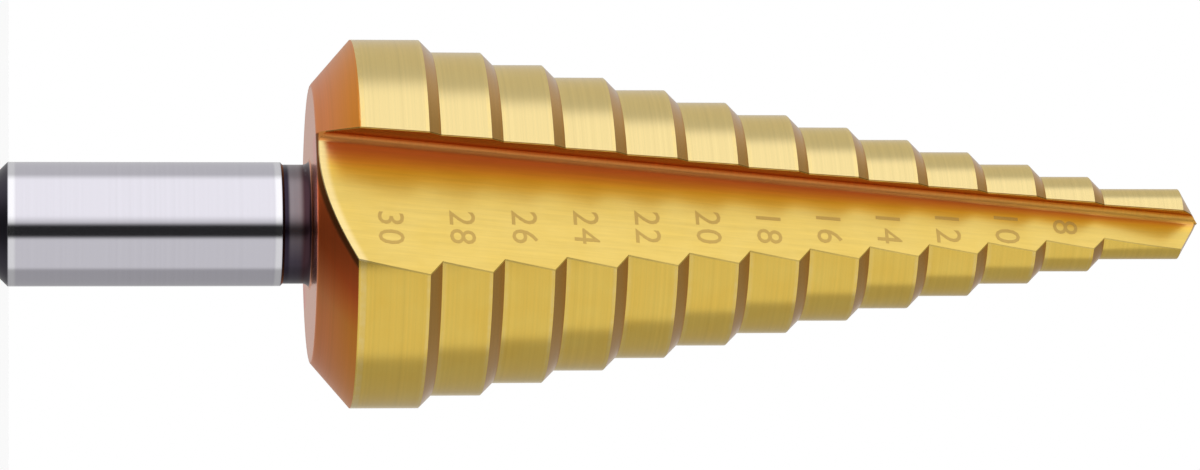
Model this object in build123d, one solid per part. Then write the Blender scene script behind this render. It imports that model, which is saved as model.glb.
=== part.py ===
"""Step drill for sheet metal, 6 to 30 mm in steps of 2 mm, on a plain round shank.

The tool is ground from one bar, so it is one solid. It stands on the end of its shank:
the origin is the centre of that end face, and +Z runs along the axis to the point.
Lengths are millimetres and angles are degrees. The head is drawn with one cutting lip
on +X, and is then turned on the shank so that a flute faces -Y.
"""
import os
from math import cos, radians, tan

from build123d import *

# Shank, ground round for a drill chuck, and the narrower neck between it and the head.
shank_diameter = 10.0
shank_length = 23.3
shank_end_chamfer = 1.3
neck_diameter = 9.6
neck_length = 2.2
neck_root_radius = 0.6

# Back of the cutting head: a flat collar face, then a cone out to the largest size. It is
# turned about the shank's axis, and is left a little clear of the relieved lands.
collar_diameter = 22.4
back_cone_length = 3.3
back_edge_radius = 0.5
back_clearance = 0.05

# Sizes that the drill opens a hole to. Each has its own land, and a shoulder that cuts.
largest_size = 30.0
smallest_size = 6.0
size_step = 2.0
largest_land_length = 5.4
land_length = 4.0
shoulder_angle = 45.0

# Pilot, which starts the hole by itself.
pilot_length = 6.5
point_angle = 118.0

# Relief: each lip's half of the head is turned about an axis set a little to one side,
# so that its lands and shoulders fall away behind the lip. The halves part in the flutes.
relief_offset = 0.15
relief_lead = 25.0
parting_lead = 11.0

# Flute: a straight V groove for each lip. Its floor is square to the lip's direction, its
# rake wall faces the cut, and it runs out through the back cone.
lip_count = 2
flute_angle = 67.0
flute_root_radius = 0.5
web_thickness = 1.17
rake_depth_pilot = 0.47
runout_rise = 0.35
runout_lag = 7.7
flute_width = 40.0
flute_overrun = 6.0
head_turn = 59.0

# Places along the axis.
neck_start = shank_length
collar_z = neck_start + neck_length
largest_land_start = collar_z + back_cone_length
largest_land_end = largest_land_start + largest_land_length
shoulder_length = size_step / 2 / tan(radians(shoulder_angle))
smaller_sizes = round((largest_size - smallest_size) / size_step)
pilot_start = largest_land_end + smaller_sizes * shoulder_length + (smaller_sizes - 1) * land_length
pilot_end = pilot_start + pilot_length


def shank():
    """Return the shank, chamfered at both ends, and the neck with the fillet at its root."""
    shank_radius = shank_diameter / 2
    neck_radius = neck_diameter / 2
    neck_step = shank_radius - neck_radius
    root_start = collar_z - neck_root_radius
    root_edge = neck_radius + neck_root_radius
    with BuildPart() as turned:
        with BuildSketch(Plane.XZ):
            with BuildLine():
                Polyline(
                    (0, collar_z),
                    (0, 0),
                    (shank_radius - shank_end_chamfer, 0),
                    (shank_radius, shank_end_chamfer),
                    (shank_radius, neck_start - neck_step),
                    (neck_radius, neck_start),
                    (neck_radius, root_start),
                )
                CenterArc((root_edge, root_start), neck_root_radius, 90, 90)
                Line((root_edge, collar_z), (0, collar_z))
            make_face()
        revolve(axis=Axis.Z)
    return turned.part


def back_blank():
    """Return the round bar that the head is ground from, with its back turned to a cone."""
    radius = largest_size / 2 + back_clearance
    cone_rise = (largest_size - collar_diameter) / 2
    cone_end = collar_z + back_cone_length * (cone_rise + back_clearance) / cone_rise
    bar_end = pilot_end + largest_size
    corners = [
        (0, collar_z),
        (collar_diameter / 2, collar_z),
        (radius, cone_end),
        (radius, bar_end),
        (0, bar_end),
    ]
    with BuildPart() as turned:
        with BuildSketch(Plane.XZ) as section:
            with BuildLine():
                Polyline(*corners, close=True)
            make_face()
            for back_corner in corners[1:3]:
                fillet(section.vertices().sort_by_distance(back_corner)[0], back_edge_radius)
        revolve(axis=Axis.Z)
    return turned.part.rotate(Axis.Z, flute_angle / 2)


def head_section(inset):
    """Return the corners of the lands' half section, with each radius less by the inset."""
    radius = largest_size / 2 - inset
    corners = [(0, collar_z), (radius, collar_z), (radius, largest_land_end)]
    for size in range(smaller_sizes):
        shoulder_start = largest_land_end + size * (land_length + shoulder_length)
        radius -= size_step / 2
        corners.append((radius, shoulder_start + shoulder_length))
        corners.append((radius, shoulder_start + shoulder_length + land_length))
    corners[-1] = (radius, pilot_end)
    corners.append((0, pilot_end + radius / tan(radians(point_angle / 2))))
    return corners


def head_half():
    """Return the half of the head behind the lip on +X, turned about its own axis."""
    corners = head_section(relief_offset * cos(radians(relief_lead)))
    with BuildPart() as turned:
        with BuildSketch(Plane.XZ):
            with BuildLine():
                Polyline(*corners, close=True)
            make_face()
        revolve(axis=Axis.Z, revolution_arc=180)
    aside = Vector(relief_offset, 0, 0).rotate(Axis.Z, relief_lead)
    return Pos(aside) * turned.part.rotate(Axis.Z, parting_lead - 180)


def flute():
    """Return what one flute takes out of the head: a V groove with a rounded root."""
    cone_rise = (largest_size - collar_diameter) / 2
    runout_radius = collar_diameter / 2 + runout_rise
    runout_z = collar_z + back_cone_length * runout_rise / cone_rise
    runout = Vector(runout_radius, 0, runout_z).rotate(Axis.Z, -runout_lag)
    pilot_root = Vector(web_thickness / 2, -rake_depth_pilot, pilot_end)
    along = (runout - pilot_root).normalized()
    overrun = along * flute_overrun
    first = pilot_root - overrun
    last = runout + overrun
    wall = Vector(flute_width, 0, 0).rotate(Axis.Z, 90 - flute_angle)
    with BuildPart() as groove:
        with BuildSketch(Plane.XY) as vee:
            with BuildLine():
                Polyline((0, 0), (wall.X, wall.Y), (0, flute_width), close=True)
            make_face()
            fillet(vee.vertices().sort_by_distance((0, 0))[0], flute_root_radius)
        extrude(amount=(last - first).length, dir=along)
    return Pos(first) * groove.part


def cutting_head():
    """Return the head: a relieved half for each lip, with a flute in front of each."""
    turns = [lip * 360 / lip_count for lip in range(lip_count)]
    head = Part() + [head_half().rotate(Axis.Z, turn) for turn in turns]
    head = head & back_blank()
    return head - [flute().rotate(Axis.Z, turn) for turn in turns]


def step_drill():
    """Return the whole tool, with the head turned on its shank."""
    return shank() + cutting_head().rotate(Axis.Z, head_turn)


os.makedirs("parts", exist_ok=True)
export_step(step_drill(), "parts/step_drill.step")
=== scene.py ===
"""Looks of the step drill: coated and bare steel, size marks, studio light and camera."""
from math import cos, pi, radians, sin
from types import SimpleNamespace

import bmesh
import bpy
from mathutils import Matrix, Vector


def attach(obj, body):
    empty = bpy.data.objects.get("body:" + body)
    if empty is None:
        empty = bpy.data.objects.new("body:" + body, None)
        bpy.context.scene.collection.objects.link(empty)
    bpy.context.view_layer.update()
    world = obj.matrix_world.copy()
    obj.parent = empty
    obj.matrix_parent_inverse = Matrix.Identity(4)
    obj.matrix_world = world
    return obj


MM = 0.001

# Camera, with its scale measured at the drill's axis. It is turned a little off square.
PHOTO_WIDTH = 1200
SENSOR_WIDTH = 36.0
CAMERA_DISTANCE = 430 * MM
PIXELS_PER_MM = 12.32
YAW = radians(6.33)
AIM = Vector((0.88, 0, 49.08)) * MM

# Places on the drill, in millimetres from its shank end, as the solid has them.
NECK_START = 23.3
CHAMFER = 1.3
COLLAR = 25.5
COLLAR_RADIUS = 11.2
LANDS_START = 28.8
SHOULDERS_START = 34.2
SHOULDER = 1.0
CONE_SLOPE = 3.8 / 3.3
STEP_PITCH = 5.0

# Flute, in the frame of its lip: across is the way to the lip, and ahead is the way it cuts.
# Its root is a line from the pilot's end to where the flute runs out through the back cone.
HEAD_TURN = radians(59)
RAKE_WALL_ANGLE = radians(23)
ROOT_PILOT = Vector((0.585, -0.47, 96.7))
ROOT_RUNOUT = Vector((11.446, -1.548, 25.80))
ROOT_SLOPE = (ROOT_RUNOUT - ROOT_PILOT) / (ROOT_RUNOUT.z - ROOT_PILOT.z)
LIP = Vector((cos(HEAD_TURN), sin(HEAD_TURN), 0))
AHEAD = Vector((-sin(HEAD_TURN), cos(HEAD_TURN), 0))
LIP_NEAR = -LIP
AHEAD_NEAR = -AHEAD

# Size marks, in millimetres.
LARGEST_SIZE = 30
SMALLEST_MARK = 8
SIZE_STEP = 2
LARGEST_LAND_MIDDLE = 31.5
FIRST_LAND_MIDDLE = 37.2
MARK_BELOW_MIDDLE = 0.4
MARK_X = 0.25
MARK_FONT_SIZE = 3.0
MARK_PROUD = 0.015

MARK_LETTER_SPACE = 1.12
MARK_CURVE_STEPS = 3
MARK_WELD = 0.0005

# Directions about the drill's axis. Zero is towards the camera, and 90 is up in its picture.
UP_IN_PHOTO = Vector((-1, 0, 0))
TO_CAMERA = Vector((0, -1, 0))


def grey(value):
    return (value, value, value, 1.0)


def rgb(red, green, blue):
    return (red, green, blue, 1.0)


# Zones that are painted apart, in millimetres: the place of an edge and how soft it is, or the
# two edges of a band and how soft they are.
FLUTE_EDGE = (-0.10, 0.06)
FLOOR_EDGE = (0.34, 0.12)
ROOT_UP_WALL = (0.60, 0.16)
ROOT_OUT_FLOOR = (0.66, 0.20)
HEAD_EDGE = (COLLAR - 0.1, 0.1)
NECK_BAND = (NECK_START - 0.22, COLLAR - 0.1, 0.06)
NECK_STEP_SHADE = (NECK_START - 0.3, NECK_START + 0.35, 0.25)
NECK_ROOT_SHADE_EDGE = (24.7, 0.5)
CHAMFER_EDGE = (CHAMFER, 0.15)
CHAMFER_OUTER_EDGE = (3.6, 0.2)
HIGHLIGHT_BY_CHAMFER = (CHAMFER, CHAMFER + 0.55, 0.30)
HIGHLIGHT_BY_NECK = (NECK_START - 0.75, NECK_START - 0.25, 0.25)
RUNOUT_EDGE = (-0.55, 0.30)
WALL_SIDE = (0.0, 0.2)
FLOOR_RIM_HIGHLIGHT_EDGE = (0.75, 0.7)
WALL_TOP_SHADE_EDGE = (-0.02, 0.04)
LAND_STARTS = (SHOULDER, SHOULDER + 0.30, 0.30)
LAND_ENDS = (STEP_PITCH - 0.26, STEP_PITCH, 0.22)
LARGEST_LAND_STARTS = (LANDS_START - 0.2, LANDS_START + 0.20, 0.20)
STEPS_EDGE = (SHOULDERS_START, 0.1)
WORN_HIGHLIT_BAND = (LANDS_START - 0.1, 89.0, 0.1)
SHANK_EDGE = (NECK_START, 0.1)

# The same for how far a face looks to the tip, from -1 to 1, and for degrees behind the lip.
FACES_TIP = (0.5, 0.2)
FACES_SHANK = (-0.5, 0.3)
LIP_EDGE = (-20.0, 10.0)

# Ranges over which something changes: from a value, to a value, and what it is at each.
FLUTE_DEPTH = (LANDS_START, ROOT_PILOT.z, 4.5, 1.7)
LIP_FADES = (16.0, 56.0, 0.0, 1.0)
# Painted shade on the flute's floor fades away from the rake wall.
FLOOR_SHADE_ORANGE_FADES = (0.45, 0.95, 1.0, 0.0)
FLOOR_SHADE_RED_FADES = (0.25, 0.62, 1.0, 0.0)
WALL_SHADE_FADES = (0.35, 0.85, 0.0, 1.0)
ROOT_SHADE_FADES = (70.0, 92.0, 0.0, 1.0)
BACK_DEEPENS = (12.0, 14.4, 0.0, 1.0)
BACK_REDDENS = (-5.4, -2.4, 0.0, 1.0)
NECK_SHADE_FADES = (-3.0, 1.0, 1.0, 0.0)
WORN_HIGHLIT_PATCHES = (0.35, 0.65, 0.2, 0.65)
LAND_STARTS_WORN_HIGHLIT = 0.6
GRAIN_TO_BRIGHTNESS = (0.3, 0.7, 0.90, 1.05)
SHANK_GRAIN = 0.35
EVEN_GRAIN = 0.5
FACE_TO_ROUGHNESS = (-0.99, -0.9, 0.22, 0.34)
MARK_ROUGHNESS = (0.3, 0.7, 0.40, 0.55)

# Noise: scale, detail and roughness. The grain of the flute is drawn out along it.
WORN_HIGHLIT_NOISE = (1.3, 4.0, 0.6)
RING_NOISE = (2.6, 6.0, 0.7)
FLUTE_NOISE = (1.0, 6.0, 0.7)
FLUTE_GRAIN_ACROSS = 2.4
FLUTE_GRAIN_ALONG = 0.12
CLOUD_NOISE = (0.35, 3.0, 0.55)
MARK_NOISE = (6.0, 3.0, 0.6)

# Roughness of each part, and the height of the grain.
ROUGH_SHANK = 0.10
ROUGH_HEAD = 0.18
ROUGH_FLOOR = 0.33
ROUGH_ROOT = 0.48
ROUGH_NECK = 0.28
GRAIN_STRENGTH = 0.15
GRAIN_HEIGHT = 0.02

# Colours of the coating.
GOLD_DEEP = rgb(0.96, 0.62, 0.10)
GOLD_PALE = rgb(0.98, 0.71, 0.16)
# Painted highlight: a paler gold on the land just behind each lip.
GOLD_LIP_HIGHLIGHT = rgb(0.88, 0.70, 0.32)
FLOOR_DEEP = rgb(0.82, 0.58, 0.13)
FLOOR_PALE = rgb(0.88, 0.66, 0.20)
# Painted shade on the flute's floor by the wall: orange, then red nearest the wall.
FLOOR_SHADE_ORANGE = rgb(1.0, 0.62, 0.085)
FLOOR_SHADE_RED = rgb(0.84, 0.37, 0.18)
# Painted highlight along the floor's rim, where the flute runs out through the back cone.
FLOOR_RIM_HIGHLIGHT = rgb(1.0, 0.78, 0.34)
# Painted shade on the rake wall: deep by the root, pale as it rises.
WALL_SHADED = rgb(0.70, 0.30, 0.08)
WALL_PALE = rgb(0.98, 0.68, 0.14)
# Painted shade: a dark strip along the edge of the rake wall.
WALL_TOP_SHADE = rgb(0.20, 0.08, 0.01)
# Painted shade: an edge tint that darkens the rake wall where it is seen at a grazing angle.
WALL_GRAZE_SHADE = rgb(0.66, 0.48, 0.30)
# Painted shade in the flute's root corner: deepest towards the shank, paler towards the pilot.
ROOT_SHADE_DEEP = rgb(0.88, 0.36, 0.095)
ROOT_PALE = rgb(0.95, 0.52, 0.10)
BACK_INNER = rgb(0.95, 0.33, 0.115)
BACK_OUTER = rgb(0.96, 0.34, 0.04)
BACK_BY_FLUTE = rgb(1.0, 0.19, 0.04)
# Painted shade: a dark line on the back cone beside the flute's run-out.
RUNOUT_SHADE = rgb(0.28, 0.09, 0.02)
# Painted shade on the shoulders, which face the tip.
SHOULDER_SHADE = rgb(0.66, 0.36, 0.09)
# Land edges: partly coating rubbed thin, partly painted highlight.
WORN_HIGHLIT_GOLD = rgb(1.0, 0.76, 0.29)
MARK_DARK = rgb(0.56, 0.37, 0.10)
MARK_PALE = rgb(0.74, 0.52, 0.16)

# Colours of the bare steel.
STEEL = rgb(0.74, 0.72, 0.79)
# Painted highlights: pale rims on the shank by the chamfer and by the neck.
STEEL_RIM_HIGHLIGHT = rgb(0.92, 0.91, 0.95)
# Painted shade on the chamfer at the shank end.
STEEL_CHAMFER_SHADE = rgb(0.07, 0.062, 0.085)
NECK_PALE = rgb(0.28, 0.245, 0.265)
# Painted shade: the neck darker on its side away from the up direction.
NECK_SHADED = rgb(0.075, 0.062, 0.085)
# Painted shade at the step from the shank to the neck.
NECK_STEP_SHADE_DARK = rgb(0.04, 0.03, 0.05)
# Painted shade on the neck under the collar.
NECK_ROOT_SHADE = rgb(0.07, 0.035, 0.045)

# Plain neutral studio. Each light lies between two directions about the axis, in degrees, and has
# a soft edge and a brightness. The backdrop is what no light covers.
STUDIO_BACKDROP = 0.6
STUDIO_LIGHTS = (
    (-165, -90, 20, 0.4),
    (-90, -25, 10, 0.7),
    (-25, 0, 10, 0.02),
    (8, 98, 20, 1.1),
)

# Brightness past the drill's two ends, and where each starts, by how far a direction is along it.
STUDIO_AT_TIP = 0.35
STUDIO_AT_SHANK = 0.07
TIP_END = (0.78, 0.36)
SHANK_END = (-0.91, 0.16)

FLOOR_COLOUR = grey(0.95)
FLOOR_SIZE = 4.0
CLIP_START = 0.01


class Graph:
    """A node tree, with short ways to add and join its nodes."""

    def __init__(self, tree):
        self.tree = tree
        tree.nodes.clear()

    def add(self, kind, **settings):
        made = self.tree.nodes.new(kind)
        for name, value in settings.items():
            setattr(made, name, value)
        return made

    def feed(self, socket, value):
        if isinstance(value, bpy.types.NodeSocket):
            self.tree.links.new(value, socket)
        else:
            socket.default_value = value

    def math(self, operation, *values, clamp=False):
        made = self.add("ShaderNodeMath", operation=operation, use_clamp=clamp)
        for socket, value in zip(made.inputs, values):
            self.feed(socket, value)
        return made.outputs[0]

    def band(self, value, low, high, soft):
        """1 where value lies between low and high, with soft edges."""
        rise = self.step(value, low, soft)
        fall = self.step(value, high, soft)
        return self.math("SUBTRACT", rise, fall, clamp=True)

    def step(self, value, edge, soft):
        """0 below the edge, 1 above it, smooth over the soft width."""
        made = self.add("ShaderNodeMapRange", interpolation_type="SMOOTHSTEP", clamp=True)
        self.feed(made.inputs["Value"], value)
        made.inputs["From Min"].default_value = edge - soft / 2
        made.inputs["From Max"].default_value = edge + soft / 2
        return made.outputs[0]

    def both(self, first, second):
        """The part that two masks share."""
        return self.math("MULTIPLY", first, second)

    def other(self, mask):
        """All that a mask leaves out."""
        return self.math("SUBTRACT", 1.0, mask)

    def span(self, value, from_low, from_high, to_low, to_high):
        """Carry a value from one range to another, and hold it at the ends."""
        made = self.add("ShaderNodeMapRange", clamp=True)
        self.feed(made.inputs["Value"], value)
        made.inputs["From Min"].default_value = from_low
        made.inputs["From Max"].default_value = from_high
        made.inputs["To Min"].default_value = to_low
        made.inputs["To Max"].default_value = to_high
        return made.outputs[0]

    def dot(self, vector, direction):
        made = self.add("ShaderNodeVectorMath", operation="DOT_PRODUCT")
        self.feed(made.inputs[0], vector)
        self.feed(made.inputs[1], direction)
        return made.outputs["Value"]

    def vector(self, x, y, z):
        made = self.add("ShaderNodeCombineXYZ")
        for socket, value in zip(made.inputs, (x, y, z)):
            self.feed(socket, value)
        return made.outputs[0]

    def noise(self, vector, scale, detail, roughness):
        made = self.add("ShaderNodeTexNoise")
        self.feed(made.inputs["Vector"], vector)
        made.inputs["Scale"].default_value = scale
        made.inputs["Detail"].default_value = detail
        made.inputs["Roughness"].default_value = roughness
        return made.outputs["Fac"]

    def mix(self, factor, low, high):
        """Blend two colours by a factor."""
        made = self.add("ShaderNodeMix", data_type="RGBA")
        self.feed(made.inputs["Factor"], factor)
        self.feed(made.inputs["A"], low)
        self.feed(made.inputs["B"], high)
        return made.outputs["Result"]

    def blend(self, factor, low, high):
        """Blend two numbers by a factor."""
        made = self.add("ShaderNodeMix", data_type="FLOAT")
        self.feed(made.inputs[0], factor)
        self.feed(made.inputs[2], low)
        self.feed(made.inputs[3], high)
        return made.outputs[0]

    def brighten(self, colour, amount):
        made = self.add("ShaderNodeVectorMath", operation="SCALE")
        self.feed(made.inputs[0], colour)
        self.feed(made.inputs["Scale"], amount)
        return made.outputs[0]


def millimetres(g):
    """Places on a piece, in millimetres."""
    return g.brighten(g.add("ShaderNodeTexCoord").outputs["Object"], 1 / MM)


def drill_zones(g):
    """Masks and measures of the drill's parts, by place and by the way that a face looks."""
    place = millimetres(g)
    z = g.dot(place, (0, 0, 1))
    normal = g.add("ShaderNodeNewGeometry").outputs["Normal"]
    facing_tip = g.dot(normal, (0, 0, 1))

    # The two flutes are alike under half a turn, so the lip's frame is folded onto one.
    signed_across = g.dot(place, LIP)
    across = g.math("ABSOLUTE", signed_across)
    along_cut = g.math("MULTIPLY", g.dot(place, AHEAD), g.math("SIGN", signed_across))
    above_pilot_end = g.math("SUBTRACT", z, ROOT_PILOT.z)
    root_across = g.math("MULTIPLY_ADD", above_pilot_end, ROOT_SLOPE.x, ROOT_PILOT.x)
    root_ahead = g.math("MULTIPLY_ADD", above_pilot_end, ROOT_SLOPE.y, ROOT_PILOT.y)
    from_floor = g.math("SUBTRACT", across, root_across)
    past_root = g.math("SUBTRACT", along_cut, root_ahead)
    wall_offset = g.math(
        "SUBTRACT",
        g.math("MULTIPLY", past_root, cos(RAKE_WALL_ANGLE)),
        g.math("MULTIPLY", from_floor, sin(RAKE_WALL_ANGLE)),
    )
    depth = g.span(z, *FLUTE_DEPTH)
    in_flute = g.both(g.step(from_floor, *FLUTE_EDGE), g.step(wall_offset, *FLUTE_EDGE))
    on_floor = g.both(in_flute, g.step(wall_offset, *FLOOR_EDGE))
    in_root = g.both(in_flute, g.other(g.step(from_floor, *ROOT_UP_WALL)))
    in_root = g.both(in_root, g.other(g.step(wall_offset, *ROOT_OUT_FLOOR)))
    on_wall = g.math("SUBTRACT", in_flute, on_floor, clamp=True)
    outside = g.other(in_flute)

    behind_lip = g.math("MULTIPLY", g.math("ARCTAN2", along_cut, across), -180 / pi)
    # Painted highlight mask: the land just behind each lip, fading away from it.
    near_lip = g.both(g.other(g.span(behind_lip, *LIP_FADES)), g.step(behind_lip, *LIP_EDGE))
    radius = g.math("SQRT", g.math("SUBTRACT", g.dot(place, place), g.math("MULTIPLY", z, z)))
    cone_radius = g.math("MULTIPLY_ADD", z, CONE_SLOPE, COLLAR_RADIUS - CONE_SLOPE * COLLAR)
    inside_cone = g.math("SUBTRACT", cone_radius, radius)
    # Painted highlight mask: the floor's rim by the back cone.
    floor_rim = g.both(on_floor, g.other(g.step(inside_cone, *FLOOR_RIM_HIGHLIGHT_EDGE)))

    on_shoulder = g.both(g.step(facing_tip, *FACES_TIP), outside)
    on_back = g.both(g.other(g.step(facing_tip, *FACES_SHANK)), outside)
    by_wall = g.step(wall_offset, *WALL_SIDE)
    # Painted shade mask: a strip of the back cone beside the flute's run-out.
    by_runout = g.both(g.both(on_back, g.step(from_floor, *RUNOUT_EDGE)), by_wall)
    on_land = g.math("SUBTRACT", outside, g.math("MAXIMUM", on_shoulder, on_back))
    return SimpleNamespace(
        place=place,
        z=z,
        radius=radius,
        facing_tip=facing_tip,
        from_floor=from_floor,
        past_root=past_root,
        wall_offset=wall_offset,
        up_wall=g.math("DIVIDE", from_floor, depth),
        out_floor=g.math("DIVIDE", wall_offset, depth),
        on_head=g.step(z, *HEAD_EDGE),
        on_neck=g.band(z, *NECK_BAND),
        on_floor=on_floor,
        on_wall=on_wall,
        in_root=in_root,
        near_lip=near_lip,
        floor_rim=floor_rim,
        on_shoulder=on_shoulder,
        on_back=on_back,
        on_land=on_land,
        by_wall=by_wall,
        by_runout=by_runout,
    )


def rubbed_edges(g, zones):
    """Land edges made paler in patches, at both ends of each land: partly coating rubbed thin,
    partly painted highlight.
    """
    in_step = g.math("SUBTRACT", zones.z, SHOULDERS_START)
    in_step = g.math("FLOORED_MODULO", in_step, STEP_PITCH)
    land_starts = g.both(g.band(in_step, *LAND_STARTS), g.step(zones.z, *STEPS_EDGE))
    land_starts = g.math("MULTIPLY", land_starts, LAND_STARTS_WORN_HIGHLIT)
    edges = g.math("ADD", land_starts, g.band(in_step, *LAND_ENDS))
    edges = g.math("ADD", edges, g.band(zones.z, *LARGEST_LAND_STARTS))
    edges = g.math("MULTIPLY", edges, zones.on_land, clamp=True)
    edges = g.both(edges, g.band(zones.z, *WORN_HIGHLIT_BAND))
    return g.both(edges, g.span(g.noise(zones.place, *WORN_HIGHLIT_NOISE), *WORN_HIGHLIT_PATCHES))


def coating_colour(g, zones):
    """Gold of the lands, changed for the flute, the back cone and the shoulders, with painted shade
    in the flute and on the shoulders, painted highlights by the lips and on the floor's rim, and
    land edges that are partly rubbed and partly painted highlight.
    """
    cloud = g.noise(zones.place, *CLOUD_NOISE)
    gold = g.mix(cloud, GOLD_DEEP, GOLD_PALE)
    gold = g.mix(zones.near_lip, gold, GOLD_LIP_HIGHLIGHT)

    floor_gold = g.mix(cloud, FLOOR_DEEP, FLOOR_PALE)
    # Painted shade where the floor meets the rake wall: orange, then red nearest the wall.
    floor_gold = g.mix(g.span(zones.out_floor, *FLOOR_SHADE_ORANGE_FADES), floor_gold, FLOOR_SHADE_ORANGE)
    floor_gold = g.mix(g.span(zones.out_floor, *FLOOR_SHADE_RED_FADES), floor_gold, FLOOR_SHADE_RED)
    floor_gold = g.mix(zones.floor_rim, floor_gold, FLOOR_RIM_HIGHLIGHT)
    gold = g.mix(zones.on_floor, gold, floor_gold)

    # Painted shade on the rake wall, deepest by the root.
    wall = g.mix(g.span(zones.up_wall, *WALL_SHADE_FADES), WALL_SHADED, WALL_PALE)
    # Painted shade: a dark strip along the edge of the rake wall.
    wall = g.mix(g.step(zones.wall_offset, *WALL_TOP_SHADE_EDGE), WALL_TOP_SHADE, wall)
    gold = g.mix(zones.on_wall, gold, wall)
    # Painted shade in the root corner between the floor and the rake wall.
    root = g.mix(g.span(zones.z, *ROOT_SHADE_FADES), ROOT_SHADE_DEEP, ROOT_PALE)
    gold = g.mix(zones.in_root, gold, root)

    back = g.mix(g.span(zones.radius, *BACK_DEEPENS), BACK_INNER, BACK_OUTER)
    beside_flute = g.both(g.span(zones.from_floor, *BACK_REDDENS), zones.by_wall)
    back = g.mix(beside_flute, back, BACK_BY_FLUTE)
    gold = g.mix(zones.on_back, gold, back)
    gold = g.mix(zones.by_runout, gold, RUNOUT_SHADE)
    # Painted shade on the shoulders.
    gold = g.mix(zones.on_shoulder, gold, SHOULDER_SHADE)
    # Land edges: partly coating rubbed thin, partly painted highlight.
    return g.mix(rubbed_edges(g, zones), gold, WORN_HIGHLIT_GOLD)


def steel_colour(g, zones):
    """Bright ground shank with painted highlights on its rims and painted shade on its chamfer, and
    a darker neck with painted shade on one side, at its step and under the collar.
    """
    # Painted highlights on the shank's rims by the chamfer and by the neck.
    rim_highlights = g.math("ADD", g.band(zones.z, *HIGHLIGHT_BY_CHAMFER), g.band(zones.z, *HIGHLIGHT_BY_NECK))
    steel = g.mix(rim_highlights, STEEL, STEEL_RIM_HIGHLIGHT)
    # Painted shade: the neck darkens towards its side away from the up direction.
    neck_shade = g.span(g.dot(zones.place, UP_IN_PHOTO), *NECK_SHADE_FADES)
    neck = g.mix(neck_shade, NECK_PALE, NECK_SHADED)
    # Painted shade at the step from the shank to the neck.
    neck = g.mix(g.band(zones.z, *NECK_STEP_SHADE), neck, NECK_STEP_SHADE_DARK)
    # Painted shade on the neck under the collar.
    neck = g.mix(g.step(zones.z, *NECK_ROOT_SHADE_EDGE), neck, NECK_ROOT_SHADE)
    steel = g.mix(zones.on_neck, steel, neck)
    # Painted shade on the chamfer at the shank end.
    below_edge = g.other(g.step(zones.z, *CHAMFER_EDGE))
    on_chamfer = g.both(below_edge, g.step(zones.radius, *CHAMFER_OUTER_EDGE))
    return g.mix(on_chamfer, steel, STEEL_CHAMFER_SHADE)


def grinding_grain(g, zones):
    """Rings left by grinding, fainter on the shank, and lines along the floor of the flutes."""
    rings = g.noise(g.vector(0.0, 0.0, zones.z), *RING_NOISE)
    flute_place = g.vector(
        g.math("MULTIPLY", zones.past_root, FLUTE_GRAIN_ACROSS),
        0.0,
        g.math("MULTIPLY", zones.z, FLUTE_GRAIN_ALONG),
    )
    grain = g.blend(zones.on_floor, rings, g.noise(flute_place, *FLUTE_NOISE))
    fainter = g.blend(SHANK_GRAIN, EVEN_GRAIN, grain)
    return g.blend(g.step(zones.z, *SHANK_EDGE), fainter, grain)


def roughness(g, zones):
    """How rough each part is. The shank is the smoothest, and the flute's root the roughest."""
    rough = g.blend(zones.on_head, ROUGH_SHANK, ROUGH_HEAD)
    rough = g.blend(zones.on_floor, rough, ROUGH_FLOOR)
    rough = g.blend(zones.in_root, rough, ROUGH_ROOT)
    rough = g.blend(zones.on_back, rough, g.span(zones.facing_tip, *FACE_TO_ROUGHNESS))
    return g.blend(zones.on_neck, rough, ROUGH_NECK)


def drill_material():
    """Gold coating on the head and bare ground steel on the neck and shank, split by height."""
    material = bpy.data.materials.new("coated_steel")
    material.use_nodes = True
    g = Graph(material.node_tree)
    zones = drill_zones(g)
    grain = grinding_grain(g, zones)
    colour = g.mix(zones.on_head, steel_colour(g, zones), coating_colour(g, zones))
    colour = g.brighten(colour, g.span(grain, *GRAIN_TO_BRIGHTNESS))

    bump = g.add("ShaderNodeBump")
    bump.inputs["Strength"].default_value = GRAIN_STRENGTH
    bump.inputs["Distance"].default_value = GRAIN_HEIGHT * MM
    g.feed(bump.inputs["Height"], grain)

    shader = g.add("ShaderNodeBsdfPrincipled")
    shader.inputs["Metallic"].default_value = 1.0
    # Painted shade: the rake wall's edge tint darkens it at grazing angles.
    g.feed(shader.inputs["Specular Tint"], g.mix(zones.on_wall, grey(1.0), WALL_GRAZE_SHADE))
    g.feed(shader.inputs["Base Color"], colour)
    g.feed(shader.inputs["Roughness"], roughness(g, zones))
    g.feed(shader.inputs["Normal"], bump.outputs["Normal"])
    output = g.add("ShaderNodeOutputMaterial")
    g.feed(output.inputs["Surface"], shader.outputs[0])
    return material


def mark_material():
    """Coating dulled and darkened where a size is marked."""
    material = bpy.data.materials.new("size_marks")
    material.use_nodes = True
    g = Graph(material.node_tree)
    speckle = g.noise(millimetres(g), *MARK_NOISE)
    shader = g.add("ShaderNodeBsdfPrincipled")
    shader.inputs["Metallic"].default_value = 1.0
    g.feed(shader.inputs["Base Color"], g.mix(speckle, MARK_DARK, MARK_PALE))
    g.feed(shader.inputs["Roughness"], g.span(speckle, *MARK_ROUGHNESS))
    output = g.add("ShaderNodeOutputMaterial")
    g.feed(output.inputs["Surface"], shader.outputs[0])
    return material


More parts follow.
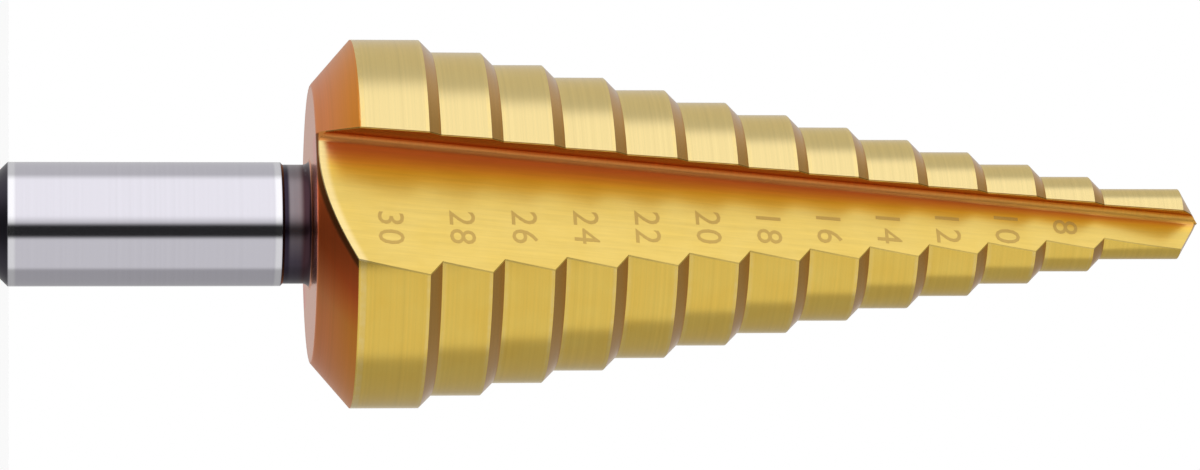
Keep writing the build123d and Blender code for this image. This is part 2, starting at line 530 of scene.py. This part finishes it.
def size_marks():
    """Each land's diameter, on the floor of the near flute beside it, read with the tip up.

    The sizes are the model's own. The marks that they stand for can't be read in the photo.
    """
    text_up = Vector((ROOT_SLOPE.x, 0, 1)).normalized()
    up = LIP_NEAR * text_up.x + Vector((0, 0, text_up.z))
    right = AHEAD_NEAR
    outward = right.cross(up)
    turn = Matrix((right, up, outward)).transposed().to_4x4()
    material = mark_material()
    made = []
    for number, size in enumerate(range(LARGEST_SIZE, SMALLEST_MARK - 1, -SIZE_STEP)):
        land_middle = FIRST_LAND_MIDDLE + STEP_PITCH * (number - 1)
        if size == LARGEST_SIZE:
            land_middle = LARGEST_LAND_MIDDLE
        z = land_middle - MARK_BELOW_MIDDLE
        across = ROOT_PILOT.x + ROOT_SLOPE.x * (z - ROOT_PILOT.z)
        ahead = (MARK_X - across * LIP_NEAR.x) / AHEAD_NEAR.x
        middle = LIP_NEAR * across + AHEAD_NEAR * ahead + Vector((0, 0, z))

        curve = bpy.data.curves.new(f"size_{size}", "FONT")
        curve.body = str(size)
        curve.align_x = "CENTER"
        curve.align_y = "CENTER"
        curve.size = MARK_FONT_SIZE * MM
        curve.space_character = MARK_LETTER_SPACE
        curve.resolution_u = MARK_CURVE_STEPS
        curve.extrude = MARK_PROUD * MM
        text = bpy.data.objects.new(f"size_{size}", curve)
        bpy.context.scene.collection.objects.link(text)
        text.matrix_world = Matrix.Translation(middle * MM) @ turn
        made.append(text)

    bpy.context.view_layer.update()
    shapes = bpy.context.evaluated_depsgraph_get()
    bm = bmesh.new()
    for text in made:
        mesh = bpy.data.meshes.new_from_object(text.evaluated_get(shapes))
        mesh.transform(text.matrix_world)
        bm.from_mesh(mesh)
        bpy.data.objects.remove(text)
    mesh = bpy.data.meshes.new("size_marks")
    bmesh.ops.remove_doubles(bm, verts=bm.verts, dist=MARK_WELD * MM)
    bm.to_mesh(mesh)
    bm.free()
    mesh.materials.clear()
    mesh.materials.append(material)
    marks = bpy.data.objects.new("size_marks", mesh)
    bpy.context.scene.collection.objects.link(marks)
    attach(marks, "root")


def studio_world():
    """Soft neutral studio that glossy faces reflect. The camera sees white behind the drill."""
    world = bpy.data.worlds.new("studio")
    bpy.context.scene.world = world
    world.use_nodes = True
    g = Graph(world.node_tree)
    direction = g.add("ShaderNodeTexCoord").outputs["Generated"]
    up = g.dot(direction, UP_IN_PHOTO)
    near = g.dot(direction, TO_CAMERA)
    to_tip = g.dot(direction, (0, 0, 1))
    turn = g.math("MULTIPLY", g.math("ARCTAN2", up, near), 180 / pi)
    around = STUDIO_BACKDROP
    for start, end, soft, brightness in STUDIO_LIGHTS:
        around = g.blend(g.band(turn, start, end, soft), around, brightness)
    light = g.mix(g.step(to_tip, *TIP_END), around, grey(STUDIO_AT_TIP))
    light = g.mix(g.step(to_tip, *SHANK_END), grey(STUDIO_AT_SHANK), light)

    path = g.add("ShaderNodeLightPath")
    lit = g.mix(path.outputs["Is Glossy Ray"], grey(1.0), light)
    behind = g.math("MAXIMUM", path.outputs["Is Camera Ray"], path.outputs["Is Transmission Ray"])
    seen = g.mix(behind, lit, grey(1.0))
    background = g.add("ShaderNodeBackground")
    g.feed(background.inputs["Color"], seen)
    output = g.add("ShaderNodeOutputWorld")
    g.feed(output.inputs["Surface"], background.outputs[0])


def floor():
    """A plain pale floor under the shank end, which no glossy face reflects."""
    bpy.ops.mesh.primitive_plane_add(size=FLOOR_SIZE, location=(0, 0, 0))
    plane = bpy.context.object
    plane.name = "floor"
    plane.visible_glossy = False
    material = bpy.data.materials.new("floor")
    material.use_nodes = True
    g = Graph(material.node_tree)
    shader = g.add("ShaderNodeBsdfDiffuse")
    shader.inputs["Color"].default_value = FLOOR_COLOUR
    output = g.add("ShaderNodeOutputMaterial")
    g.feed(output.inputs["Surface"], shader.outputs[0])
    plane.data.materials.append(material)


def camera():
    """The photo's view: the drill stands, and the camera is turned so that it lies across."""
    data = bpy.data.cameras.new("camera")
    data.sensor_width = SENSOR_WIDTH
    data.lens = SENSOR_WIDTH * PIXELS_PER_MM * CAMERA_DISTANCE / MM / PHOTO_WIDTH
    data.clip_start = CLIP_START
    made = bpy.data.objects.new("camera", data)
    bpy.context.scene.collection.objects.link(made)
    back = Vector((0, -cos(YAW), -sin(YAW)))
    place = Vector((0, 0, AIM.z)) + back * CAMERA_DISTANCE
    look = (AIM - place).normalized()
    right = look.cross(UP_IN_PHOTO).normalized()
    up = right.cross(look)
    made.matrix_world = Matrix.Translation(place) @ Matrix((right, up, -look)).transposed().to_4x4()
    bpy.context.scene.camera = made


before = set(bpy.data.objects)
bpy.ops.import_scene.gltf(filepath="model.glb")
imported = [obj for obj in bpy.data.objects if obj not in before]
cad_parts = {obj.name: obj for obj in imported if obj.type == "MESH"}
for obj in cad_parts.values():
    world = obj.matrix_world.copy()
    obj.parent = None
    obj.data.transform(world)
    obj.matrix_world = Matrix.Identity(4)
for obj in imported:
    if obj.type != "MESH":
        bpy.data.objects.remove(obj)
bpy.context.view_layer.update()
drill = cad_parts["step_drill"]
drill.material_slots[0].material = drill_material()
size_marks()
floor()
studio_world()
camera()
bpy.context.scene.view_settings.view_transform = "Standard"
